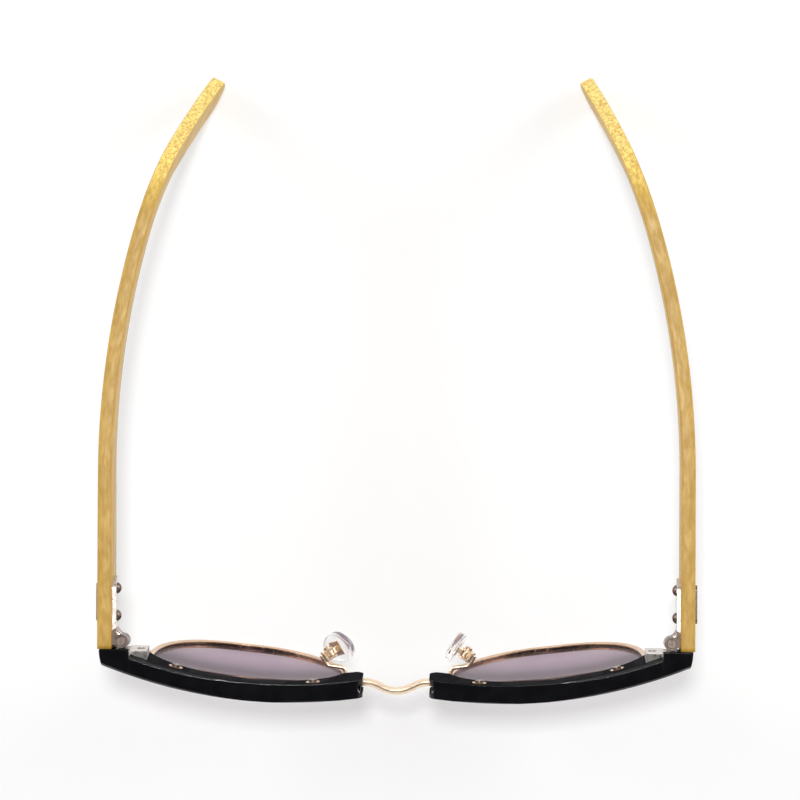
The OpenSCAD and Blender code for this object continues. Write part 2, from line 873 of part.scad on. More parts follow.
module nose_pad(side) {
    color(clear)
        placed(side)
            at_pad(side)
                difference() {
                    intersection() {
                        translate([-pad_reach - pad_t, 0, 0])
                            rotate([0, 90, 0])
                                linear_extrude(pad_t)
                                    intersection_for (s = [-1, 1])
                                        translate([0, s * (pad_h * pad_h - pad_w * pad_w) / 4 / pad_w])
                                            circle(r = (pad_h * pad_h + pad_w * pad_w) / 4 / pad_w, $fn = round_fn);
                        translate([pad_dome_r - pad_reach - pad_t, 0, 0])
                            sphere(r = pad_dome_r, $fn = round_fn);
                    }
                    foot(fit);
                }
}

module temple(side) {
    color(bamboo)
        placed(side)
            difference() {
                loft(temple_points);
                at_rivets()
                    rotate([0, 90, 0])
                        post(rivet_d + 2 * fit, -temple_t, temple_t);
            }
}

// Places a piece at both rivets, in the middle of the temple's thickness
module at_rivets() {
    for (i = [0, 1])
        translate([temple_x, rivet_at + i * rivet_pitch, 0])
            children();
}

module hinge_leaf(side) {
    color(silver)
        placed(side)
            difference() {
                union() {
                    translate([plate_out, 0, 0])
                        rotate([0, 90, 0])
                            linear_extrude(leaf_t) {
                                translate([-barrel_h / 2, hinge_y - barrel_d / 4])
                                    square([barrel_h, leaf_l - barrel_h / 2 - hinge_y + barrel_d / 4]);
                                translate([0, leaf_l - barrel_h / 2])
                                    circle(d = barrel_h);
                            }
                    translate([hinge_x, hinge_y, 0])
                        post(barrel_d, -barrel_h / 2, barrel_h / 2);
                }
                translate([hinge_x, hinge_y, 0]) {
                    post(barrel_d + 4 * seat_gap, -knuckle_h / 2 - seat_gap, knuckle_h / 2 + seat_gap);
                    post(pin_d + 2 * run_fit, -barrel_h, barrel_h);
                    post(pin_head_d + 2 * fit, barrel_h / 2 - pin_head_h, barrel_h);
                }
                at_rivets()
                    rotate([0, 90, 0])
                        post(rivet_d + 2 * fit, -2 * temple_t, 2 * temple_t);
            }
}

module hinge_screw(side) {
    color(silver)
        placed(side)
            translate([hinge_x, hinge_y, barrel_h / 2 - pin_head_h])
                rotate([90, 0, 0])
                    small_screw(pin_d, pin_head_d, pin_head_h, barrel_h - pin_head_h);
}

module plaque(side) {
    mid = rivet_at + rivet_pitch / 2;
    r = plaque_h / 4;
    color(bronze)
        placed(side) {
            translate([temple_out, mid, 0])
                rotate([0, 90, 0])
                    linear_extrude(plaque_t)
                        hull()
                            for (y = [-1, 1], z = [-1, 1])
                                translate([z * (plaque_h / 2 - r), y * (plaque_l / 2 - r)])
                                    circle(r = r);
            at_rivets()
                rotate([0, 90, 0])
                    post(rivet_d, -temple_t / 2 - leaf_t, temple_t / 2);
        }
}

module rivet_caps(side) {
    dome_r = (cap_d * cap_d / 4 + cap_h * cap_h) / 2 / cap_h;
    color(silver)
        placed(side)
            at_rivets()
                translate([-temple_t / 2 - leaf_t, 0, 0])
                    rotate([0, -90, 0])
                        intersection() {
                            post(cap_d, 0, cap_h);
                            translate([0, 0, cap_h - dome_r])
                                sphere(r = dome_r, $fn = 2 * $fn);
                        }
}

brow(-1);  // brow_left
brow(1);  // brow_right
rim(-1);  // rim_left
rim(1);  // rim_right
lens(-1);  // lens_left
lens(1);  // lens_right
bridge();
brow_screws();
rim_screw(-1);  // rim_screw_left
rim_screw(1);  // rim_screw_right
hinge_front(-1);  // hinge_front_left
hinge_front(1);  // hinge_front_right
hinge_plate_screws();
pad_arm(-1);  // pad_arm_left
pad_arm(1);  // pad_arm_right
pad_screw(-1);  // pad_screw_left
pad_screw(1);  // pad_screw_right
pad_stem(-1);  // pad_stem_left
pad_stem(1);  // pad_stem_right
nose_pad(-1);  // nose_pad_left
nose_pad(1);  // nose_pad_right
temple(-1);  // temple_left
temple(1);  // temple_right
hinge_leaf(-1);  // hinge_leaf_left
hinge_leaf(1);  // hinge_leaf_right
hinge_screw(-1);  // hinge_screw_left
hinge_screw(1);  // hinge_screw_right
plaque(-1);  // plaque_left
plaque(1);  // plaque_right
rivet_caps(-1);  // rivet_caps_left
rivet_caps(1);  // rivet_caps_right
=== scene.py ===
"""Looks for a pair of browline sunglasses with bamboo temples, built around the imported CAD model."""

import logging
import math
from dataclasses import dataclass
from enum import Enum
from typing import Iterable, Sequence, Union

import bmesh
import bpy
from mathutils import Matrix, Vector


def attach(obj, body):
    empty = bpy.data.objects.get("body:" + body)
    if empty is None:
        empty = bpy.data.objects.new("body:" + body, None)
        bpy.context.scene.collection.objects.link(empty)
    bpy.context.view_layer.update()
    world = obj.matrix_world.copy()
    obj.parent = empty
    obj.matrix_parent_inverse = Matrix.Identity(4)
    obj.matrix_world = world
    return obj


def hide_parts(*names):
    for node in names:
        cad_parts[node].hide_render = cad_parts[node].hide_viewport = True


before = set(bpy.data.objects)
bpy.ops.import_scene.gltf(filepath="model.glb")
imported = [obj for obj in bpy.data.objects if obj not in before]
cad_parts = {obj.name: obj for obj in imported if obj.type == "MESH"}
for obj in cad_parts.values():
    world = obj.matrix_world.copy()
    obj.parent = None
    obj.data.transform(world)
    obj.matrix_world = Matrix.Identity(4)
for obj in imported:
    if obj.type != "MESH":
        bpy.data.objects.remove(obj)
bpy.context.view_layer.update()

LOG = logging.getLogger("sunglasses")
MM = 0.001

# The middle of the right hinge in the shared frame, in millimetres
HINGE_X = 66.0
HINGE_Y = -62.0955
HINGE_Z = 40.6188

Colour = tuple[float, float, float, float]
Place = tuple[float, float, float]
Node = bpy.types.Node
Socket = bpy.types.NodeSocket
Material = bpy.types.Material
Piece = bpy.types.Object
BMesh = bmesh.types.BMesh
Vert = bmesh.types.BMVert
Edge = bmesh.types.BMEdge
Value = Union[Socket, float]
Tone = Union[Socket, Colour]
Feed = Union[Socket, float, Colour]


class Side(Enum):
    """The two sides of the pair, seen from above with the temples upwards."""

    LEFT = -1
    RIGHT = 1

    @property
    def word(self) -> str:
        """The ending that this side has in the names of nodes and bodies."""
        return self.name.lower()


class Grain(Enum):
    """The attributes of a temple's points that the bamboo reads."""

    PLANK = "plank"
    ACROSS = "across"
    UPPER = "upper"


def srgb(red: int, green: int, blue: int) -> Colour:
    """Turns a screen colour into the linear colour that shaders take.

    Args:
        red: Red from 0 to 255.
        green: Green from 0 to 255.
        blue: Blue from 0 to 255.

    Returns:
        Linear red, green and blue with full alpha.
    """
    def linear(value: int) -> float:
        """One channel as linear light."""
        share = value / 255
        return share / 12.92 if share <= 0.04045 else ((share + 0.055) / 1.055) ** 2.4

    return (linear(red), linear(green), linear(blue), 1.0)


class Nodes:
    """A node tree of a material, a world or a group, with short calls to fill it."""

    def __init__(self, tree: bpy.types.NodeTree) -> None:
        """Starts from an empty tree."""
        tree.nodes.clear()
        self.tree = tree

    def add(self, kind: str, **values: object) -> Node:
        """Adds a node.

        Args:
            kind: The node's class without its ShaderNode prefix.
            **values: Attributes of the node.

        Returns:
            The new node.
        """
        node = self.tree.nodes.new("ShaderNode" + kind)
        for name, value in values.items():
            setattr(node, name, value)
        return node

    def link(self, source: Socket, target: Socket) -> None:
        """Joins an output to an input."""
        self.tree.links.new(source, target)

    def feed(self, sockets: Iterable[Socket], *values: Feed) -> None:
        """Gives each input its value.

        Args:
            sockets: The inputs.
            *values: An output or a plain value for each of them.
        """
        for socket, value in zip(sockets, values):
            if isinstance(value, Socket):
                self.link(value, socket)
            else:
                socket.default_value = value

    def fill(self, node: Node, values: dict[str, Feed]) -> Node:
        """Gives a node's inputs their values by name, and returns the node."""
        self.feed((node.inputs[name] for name in values), *values.values())
        return node

    def math(self, operation: str, first: Value, second: Value = 0.0, clamp: bool = False) -> Socket:
        """Adds a sum, product or other operation of two values.

        Args:
            operation: The name of the operation.
            first: The first value.
            second: The second value.
            clamp: Whether the result is kept between 0 and 1.

        Returns:
            The result.
        """
        node = self.add("Math", operation=operation, use_clamp=clamp)
        self.feed(node.inputs, first, second)
        return node.outputs[0]

    def span(self, value: Socket, low: float, high: float, to_low: float = 0.0,
             to_high: float = 1.0) -> Socket:
        """Maps a range of a value smoothly to another range.

        Args:
            value: The value to map.
            low: The value that becomes to_low.
            high: The value that becomes to_high.
            to_low: The lowest result.
            to_high: The highest result.

        Returns:
            The mapped value.
        """
        ends = {"From Min": low, "From Max": high, "To Min": to_low, "To Max": to_high}
        node = self.fill(self.add("MapRange", interpolation_type="SMOOTHSTEP"), {"Value": value, **ends})
        return node.outputs["Result"]

    def mix(self, share: Value, first: Tone, second: Tone) -> Socket:
        """Mixes two colours.

        Args:
            share: How much of the second colour shows.
            first: The first colour.
            second: The second colour.

        Returns:
            The mixed colour.
        """
        node = self.add("Mix", data_type="RGBA")
        colours = [s for s in node.inputs if s.type == "RGBA"]
        self.feed((node.inputs["Factor"], *colours), share, first, second)
        return next(s for s in node.outputs if s.type == "RGBA")

    def between(self, share: Value, first: Value, second: Value) -> Socket:
        """Mixes two values.

        Args:
            share: How much of the second value shows.
            first: The first value.
            second: The second value.

        Returns:
            The mixed value.
        """
        node = self.add("Mix", data_type="FLOAT")
        self.feed((s for s in node.inputs if s.type == "VALUE"), share, first, second)
        return node.outputs[0]

    def mix_shaders(self, share: Socket, first: Socket, second: Socket) -> Socket:
        """Mixes two shaders.

        Args:
            share: How much of the second shader shows.
            first: The first shader.
            second: The second shader.

        Returns:
            The mixed shader.
        """
        node = self.add("MixShader")
        self.feed(node.inputs, share, first, second)
        return node.outputs["Shader"]

    def place(self) -> Socket:
        """The piece's own coordinates, in metres."""
        return self.add("TexCoord").outputs["Object"]

    def apart(self, vector: Socket) -> bpy.types.NodeOutputs:
        """The parts X, Y and Z of a vector."""
        return self.fill(self.add("SeparateXYZ"), {"Vector": vector}).outputs

    def scaled(self, vector: Socket, scale: Sequence[float]) -> Socket:
        """Stretches a pattern's coordinates.

        Args:
            vector: The coordinates.
            scale: Cells per metre along each axis.

        Returns:
            The stretched coordinates.
        """
        return self.fill(self.add("Mapping"), {"Vector": vector, "Scale": scale}).outputs["Vector"]

    def noise(self, vector: Socket, scale: Value, detail: float = 3.0) -> Socket:
        """Adds a soft noise.

        Args:
            vector: Its coordinates.
            scale: Cells per unit of those.
            detail: Finer layers on top.

        Returns:
            The noise, around one half.
        """
        values = {"Vector": vector, "Scale": scale, "Detail": detail}
        return self.fill(self.add("TexNoise"), values).outputs["Fac"]


@dataclass(frozen=True)
class Group:
    """A shared effect as a node group that takes coordinates and named values and gives named values."""

    name: str
    values: tuple[tuple[str, float], ...]
    results: tuple[str, ...]

    def start(self) -> tuple[Nodes, Node, Node]:
        """Makes the empty group.

        Returns:
            Its nodes, and the nodes that hold its inputs and its outputs.
        """
        tree = bpy.data.node_groups.new(self.name, "ShaderNodeTree")
        tree.interface.new_socket("Vector", in_out="INPUT", socket_type="NodeSocketVector")
        for name, value in self.values:
            socket = tree.interface.new_socket(name, in_out="INPUT", socket_type="NodeSocketFloat")
            socket.default_value = value
        for name in self.results:
            tree.interface.new_socket(name, in_out="OUTPUT", socket_type="NodeSocketFloat")
        nodes = Nodes(tree)
        return nodes, tree.nodes.new("NodeGroupInput"), tree.nodes.new("NodeGroupOutput")


@dataclass(frozen=True)
class Streaks:
    """A soft pattern along the fibres: its cells per metre, its finer layers and its range of noise."""

    name: str
    cells: Place
    detail: float
    low: float
    high: float


class Effects:
    """The shared effects: fine handling marks, and the bundles of bamboo fibres."""

    MARKS = Group("handling_marks", (("Cells", 900.0), ("Depth", 0.1)), ("Mask", "Roughness"))
    FIBRES = Group("bamboo_fibres", (("Bundle", 0.3),), ("Bundles", "Flecks", "Threads", "Cloud"))
    FINE_STRETCH = (1, 6, 1)
    FINE_SHARE = 0.35
    BUNDLE_CELLS = (1450, 30, 1450)
    STREAKS = (
        Streaks("Flecks", (1300, 330, 1300), 4.0, 0.36, 0.66),
        Streaks("Threads", (2600, 28, 2600), 4.0, 0.34, 0.68),
        Streaks("Cloud", (420, 130, 420), 2.0, 0.3, 0.7),
    )

    def __init__(self) -> None:
        """Builds both groups."""
        self.marks = self._marks()
        self.fibres = self._fibres()

    def _marks(self) -> bpy.types.NodeTree:
        """Soft smears and specks that change how a polished surface shines.

        Returns:
            The group's tree.
        """
        nodes, entry, exit_ = self.MARKS.start()
        place = entry.outputs["Vector"]
        broad = nodes.noise(place, entry.outputs["Cells"], detail=4.0)
        fine = nodes.noise(nodes.scaled(place, self.FINE_STRETCH), scale=2600.0, detail=2.0)
        both = nodes.math("ADD", broad, nodes.math("MULTIPLY", fine, self.FINE_SHARE))
        mask = nodes.span(both, low=0.45, high=0.95)
        nodes.link(mask, exit_.inputs["Mask"])
        nodes.link(nodes.math("MULTIPLY", mask, entry.outputs["Depth"]), exit_.inputs["Roughness"])
        return nodes.tree

    def _fibres(self) -> bpy.types.NodeTree:
        """Fibre bundles that run along Y, as long flecks on the sides and as dots on a cut across them.

        Returns:
            The group's tree.
        """
        nodes, entry, exit_ = self.FIBRES.start()
        plank = entry.outputs["Vector"]
        bundles = {"Vector": nodes.scaled(plank, self.BUNDLE_CELLS), "Scale": 1.0, "Randomness": 0.8}
        cells = nodes.fill(nodes.add("TexVoronoi", feature="F1"), bundles)
        tone = nodes.fill(nodes.add("SeparateColor"), {"Color": cells.outputs["Color"]})
        size = nodes.span(tone.outputs["Red"], low=0.1, high=0.8, to_low=0.55, to_high=1.0)
        reach = nodes.math("MULTIPLY", size, entry.outputs["Bundle"])
        near = nodes.math("DIVIDE", cells.outputs["Distance"], reach)
        nodes.link(nodes.span(near, low=1.0, high=0.35), exit_.inputs["Bundles"])
        for streaks in self.STREAKS:
            soft = nodes.noise(nodes.scaled(plank, streaks.cells), scale=1.0, detail=streaks.detail)
            nodes.link(nodes.span(soft, streaks.low, streaks.high), exit_.inputs[streaks.name])
        return nodes.tree


class Surface:
    """A material under construction, with one Principled BSDF."""

    def __init__(self, name: str, effects: Effects) -> None:
        """Starts from a plain surface."""
        self.material = bpy.data.materials.new(name)
        self.material.use_nodes = True
        self.effects = effects
        self.nodes = Nodes(self.material.node_tree)
        self.shader = self.nodes.add("BsdfPrincipled")
        self.output = self.nodes.add("OutputMaterial").inputs["Surface"]
        self.nodes.link(self.shader.outputs["BSDF"], self.output)

    def give(self, name: str, value: Feed) -> None:
        """Gives an input of the shader its value."""
        self.nodes.fill(self.shader, {name: value})

    def smear(self, roughness: float, cells: float, depth: float) -> Socket:
        """Puts handling marks on the polish.

        Args:
            roughness: The roughness between the smears.
            cells: Smears per metre.
            depth: How much roughness a full smear adds.

        Returns:
            The mask of the smears.
        """
        marks = self.nodes.add("Group", node_tree=self.effects.marks)
        self.nodes.fill(marks, {"Vector": self.nodes.place(), "Cells": cells, "Depth": depth})
        self.give("Roughness", self.nodes.math("ADD", marks.outputs["Roughness"], roughness))
        return marks.outputs["Mask"]

    def soften(self, radius: float, samples: int) -> None:
        """Lets edges catch the light as if they were rounded.

        Args:
            radius: The radius in millimetres.
            samples: Samples for the rounding.
        """
        rounded = self.nodes.fill(self.nodes.add("Bevel", samples=samples), {"Radius": radius * MM})
        self.give("Normal", rounded.outputs["Normal"])

    def clear(self, ior: float, shade: Colour) -> None:
        """Makes the surface clear, with a coloured shadow.

        Args:
            ior: Its index of refraction.
            shade: The colour of the light that gets through.
        """
        self.give("Transmission Weight", 1.0)
        self.give("IOR", ior)
        through = self.nodes.fill(self.nodes.add("BsdfTransparent"), {"Color": shade}).outputs["BSDF"]
        shadow = self.nodes.add("LightPath").outputs["Is Shadow Ray"]
        self.nodes.link(self.nodes.mix_shaders(shadow, self.shader.outputs["BSDF"], through), self.output)


@dataclass(frozen=True)
class Finish:
    """What every finish has: a name, and a way to make its material."""

    name: str

    def make(self, effects: Effects) -> Material:
        """Makes the material.

        Args:
            effects: The shared effects.

        Returns:
            The material.
        """
        surface = Surface(self.name, effects)
        self.fill(surface)
        return surface.material

    def fill(self, surface: Surface) -> None:
        """Gives a surface its looks, which each kind of finish does in its own way."""
        raise NotImplementedError(self.name)


@dataclass(frozen=True)
class Metal(Finish):
    """Plated metal with a soft polish, duller in its smears. Its edge is in millimetres."""

    colour: Colour
    dull: Colour
    roughness: float
    edge: float = 0.08

    def fill(self, surface: Surface) -> None:
        """Gives a surface its looks.

        Args:
            surface: The material under construction.
        """
        mask = surface.smear(self.roughness, cells=700.0, depth=0.16)
        surface.give("Base Color", self.tone(surface.nodes, mask))
        surface.give("Metallic", 1.0)
        surface.soften(self.edge, samples=6)

    def tone(self, nodes: Nodes, mask: Socket) -> Socket:
        """The colour, with its dull smears."""
        return nodes.mix(mask, self.colour, self.dull)


@dataclass(frozen=True)
class HingeMetal(Metal):
    """Plated metal whose barrel has one colour and whose plate has another.

    The barrel's axis, the reach of its colour and the blend between both are in millimetres.
    """

    plate: Colour = srgb(216, 209, 203)
    axis_x: float = HINGE_X
    axis_y: float = HINGE_Y
    bare_r: float = 1.9
    blend: float = 0.4

    def tone(self, nodes: Nodes, mask: Socket) -> Socket:
        """The colour of the barrel, and that of the plate further from the axis.

        Args:
            nodes: The material's nodes.
            mask: The mask of the smears.

        Returns:
            The colour.
        """
        place = nodes.apart(nodes.place())
        across = nodes.math("SUBTRACT", nodes.math("ABSOLUTE", place["X"]), self.axis_x * MM)
        along = nodes.math("SUBTRACT", place["Y"], self.axis_y * MM)
        squares = [nodes.math("MULTIPLY", part, part) for part in (across, along)]
        reach = nodes.math("SQRT", nodes.math("ADD", *squares))
        share = nodes.span(reach, self.bare_r * MM, (self.bare_r + self.blend) * MM)
        return nodes.mix(share, super().tone(nodes, mask), self.plate)


@dataclass(frozen=True)
class Plastic(Finish):
    """Polished plastic with faint clouds in the colour and hairline smears. Its edge is in millimetres."""

    colour: Colour
    cloud: Colour
    roughness: float
    shine: float
    edge: float = 0.2

    def fill(self, surface: Surface) -> None:
        """Gives a surface its looks.

        Args:
            surface: The material under construction.
        """
        mask = surface.smear(self.roughness, cells=240.0, depth=0.1)
        surface.give("Base Color", surface.nodes.mix(mask, self.colour, self.cloud))
        surface.give("Specular IOR Level", self.shine)
        surface.soften(self.edge, samples=8)


@dataclass(frozen=True)
class Tint(Finish):
    """Tinted clear sheet, darker at the top, that lets coloured light through. Heights are in millimetres."""

    top: Colour
    foot: Colour
    shade: Colour
    top_z: float = 28.0
    foot_z: float = 6.0
    roughness: float = 0.02
    ior: float = 1.07

    def fill(self, surface: Surface) -> None:
        """Gives a surface its looks.

        Args:
            surface: The material under construction.
        """
        nodes = surface.nodes
        fade = nodes.span(nodes.apart(nodes.place())["Z"], self.foot_z * MM, self.top_z * MM)
        surface.give("Base Color", nodes.mix(fade, self.foot, self.top))
        surface.smear(self.roughness, cells=120.0, depth=0.03)
        surface.clear(self.ior, self.shade)


@dataclass(frozen=True)
class ClearPad(Finish):
    """Clear soft plastic, a little clouded, that hardly darkens what lies under it."""

    colour: Colour
    cloud: Colour
    shade: Colour
    roughness: float = 0.04
    ior: float = 1.2

    def fill(self, surface: Surface) -> None:
        """Gives a surface its looks.

        Args:
            surface: The material under construction.
        """
        mask = surface.smear(self.roughness, cells=500.0, depth=0.05)
        surface.give("Base Color", surface.nodes.mix(mask, self.colour, self.cloud))
        surface.clear(self.ior, self.shade)


@dataclass(frozen=True)
class Bamboo(Finish):
    """Oiled bamboo: golden ground, fine streaks, and brown bundles where the fibres are cut across.

    The relief is in millimetres. The cut colour is end grain with a painted highlight, where sloped faces
    catch the light.
    """

    ground: Colour
    pale: Colour
    # cut: end-grain tone plus a painted highlight on the sloped upper faces of the tail
    cut: Colour
    streak: Colour
    bundle: Colour
    bundle_size: float = 0.46
    streak_share: float = 0.55
    roughness: float = 0.42
    streak_rough: float = 0.14
    relief: float = 0.06
    relief_share: float = 0.25
    oil: float = 0.08
    oil_rough: float = 0.3

    def fill(self, surface: Surface) -> None:
        """Gives a surface its looks.

        Args:
            surface: The material under construction.
        """
        nodes = surface.nodes
        plank, across, upper = (nodes.add("Attribute", attribute_name=grain.value).outputs for grain in Grain)
        group = nodes.add("Group", node_tree=surface.effects.fibres)
        fibres = nodes.fill(group, {"Vector": plank["Vector"], "Bundle": self.bundle_size}).outputs
        side = nodes.mix(fibres["Cloud"], self.ground, self.pale)
        # sloped upper faces turn to the cut colour: end grain, and a painted highlight where they face the
        # light
        ground = nodes.mix(nodes.span(across["Fac"], low=0.1, high=0.7), side, self.cut)
        streaks = nodes.between(upper["Fac"], fibres["Threads"], fibres["Flecks"])
        streaked = nodes.mix(nodes.math("MULTIPLY", streaks, self.streak_share), ground, self.streak)
        strength = nodes.span(across["Fac"], low=0.15, high=0.75, to_low=0.12, to_high=0.85)
        dots = nodes.math("MULTIPLY", fibres["Bundles"], strength)
        surface.give("Base Color", nodes.mix(dots, streaked, self.bundle))
        rough = nodes.math("MULTIPLY", streaks, self.streak_rough)
        surface.give("Roughness", nodes.math("ADD", rough, self.roughness))
        height = nodes.math("SUBTRACT", streaks, fibres["Bundles"])
        relief = {"Strength": self.relief_share, "Distance": self.relief * MM, "Height": height}
        surface.give("Normal", nodes.fill(nodes.add("Bump"), relief).outputs["Normal"])
        surface.give("Coat Weight", self.oil)
        surface.give("Coat Roughness", self.oil_rough)


class Finishes:
    """The materials of the pair."""

    def __init__(self) -> None:
        """Makes each material once."""
        effects = Effects()
        barrel = {"colour": srgb(112, 100, 92), "dull": srgb(99, 88, 81)}
        self.champagne = Metal(
            "champagne_gold", colour=srgb(248, 226, 198), dull=srgb(238, 213, 184), roughness=0.26,
        ).make(effects)
        # the rims' gold is a darker copy of the champagne gold: painted shade for the dark lower rims
        self.gold = Metal(
            "rose_gold", colour=srgb(222, 188, 156), dull=srgb(206, 172, 141), roughness=0.14,
        ).make(effects)
        self.nickel = Metal(
            "nickel_plate", colour=srgb(132, 119, 110), dull=srgb(117, 105, 98), roughness=0.26,
        ).make(effects)
        self.bronze = Metal(
            "dark_bronze", colour=srgb(118, 100, 92), dull=srgb(100, 84, 77), roughness=0.24,
        ).make(effects)
        self.leaf = HingeMetal("polished_leaf", **barrel, roughness=0.24, bare_r=3.2).make(effects)
        self.plate = HingeMetal("polished_plate", **barrel, roughness=0.26).make(effects)
        self.black = Plastic(
            "black_acetate", colour=srgb(9, 9, 12), cloud=srgb(14, 14, 18), roughness=0.1, shine=0.45,
        ).make(effects)
        self.dull = Plastic(
            "dull_acetate", colour=srgb(14, 14, 17), cloud=srgb(20, 20, 24), roughness=0.4, shine=0.002,
        ).make(effects)
        self.smoke = Tint(
            "smoke_lens", top=(0.1, 0.06, 0.085, 1.0), foot=(0.58, 0.5, 0.56, 1.0), shade=srgb(176, 146, 174),
        ).make(effects)
        self.clear = ClearPad(
            "clear_pad", colour=srgb(250, 249, 249), cloud=srgb(244, 243, 240), shade=srgb(240, 239, 238),
        ).make(effects)
        self.bamboo = Bamboo(
            # the cut colour is this pale partly as a painted highlight on the sloped tips
            "oiled_bamboo", ground=srgb(190, 150, 60), pale=srgb(206, 166, 76), cut=srgb(255, 225, 126),
            streak=srgb(172, 130, 44), bundle=srgb(196, 126, 36),
        ).make(effects)


def add_object(name: str, data: bpy.types.ID) -> Piece:
    """Adds an object to the scene."""
    added = bpy.data.objects.new(name, data)
    bpy.context.scene.collection.objects.link(added)
    return added


def as_data(mesh: BMesh, name: str) -> bpy.types.Mesh:
    """Turns a finished bmesh into mesh data, and frees it."""
    data = bpy.data.meshes.new(name)
    mesh.to_mesh(data)
    mesh.free()
    return data


def merged_copy(node: str, distance: float) -> BMesh:
    """Copies a CAD node's mesh.

    Args:
        node: The name of the node.
        distance: The distance within which its loose points are merged, in millimetres.

    Returns:
        The copy, in metres.
    """
    mesh = bmesh.new()
    mesh.from_mesh(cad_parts[node].data)
    bmesh.ops.remove_doubles(mesh, verts=mesh.verts, dist=distance * MM)
    return mesh


def verts_of(geometry: Iterable[object]) -> list[Vert]:
    """The points among what an operator gives back."""
    return [item for item in geometry if isinstance(item, Vert)]


def round_edges(mesh: BMesh, edges: list[Edge], radius: float, cuts: int) -> None:
    """Rounds edges.

    Args:
        mesh: The mesh under construction.
        edges: The edges to round.
        radius: Their radius, in the unit of the mesh.
        cuts: Faces across each round.
    """
    bmesh.ops.bevel(mesh, geom=edges, offset=radius, offset_type="OFFSET", affect="EDGES", segments=cuts,
                    profile=0.5, material=-1, clamp_overlap=True)


def to_side(mesh: BMesh, side: Side) -> None:
    """Brings a mesh of the right side in millimetres to its own side in metres."""
    bmesh.ops.transform(mesh, matrix=Matrix.Diagonal((side.value * MM, MM, MM, 1)), verts=mesh.verts)
    bmesh.ops.recalc_face_normals(mesh, faces=mesh.faces)


def baked(blank: Piece, *tools: Piece) -> bpy.types.Mesh:
    """Applies the modifiers of an object.

    Args:
        blank: The object, which is used up.
        *tools: Other objects that its modifiers use, which are used up too.

    Returns:
        The changed mesh.
    """
    graph = bpy.context.evaluated_depsgraph_get()
    done = bpy.data.meshes.new_from_object(blank.evaluated_get(graph))
    for used in (blank, *tools):
        data = used.data
        bpy.data.objects.remove(used)
        bpy.data.meshes.remove(data)
    return done


def body_of(node: str) -> str:
    """The body that a node of the front, a pad or a temple moves with."""
    start, _, end = node.rpartition("_")
    moving = {"nose_pad": "pad", "pad_stem": "pad", "temple": "temple"}
    return moving[start] + "_" + end if start in moving else "front"


def stand_in(data: bpy.types.Mesh, node: str) -> Piece:
    """Puts a finished mesh in the place of a CAD node.

    Args:
        data: The mesh, in the shared frame.
        node: The CAD node that it stands for.

    Returns:
        The new object, which moves with the node's body.
    """
    piece = add_object(data.name, data)
    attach(piece, body_of(node))
    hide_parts(node)
    return piece


def dress(finish: Material, *starts: str) -> None:
    """Puts a finish on every CAD node whose name starts with one of these words.

    Args:
        finish: The material.
        *starts: Starts of node names.
    """
    for name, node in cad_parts.items():
        if name.startswith(starts):
            node.data.materials.clear()
            node.data.materials.append(finish)
            LOG.info("%s: %s", name, finish.name)


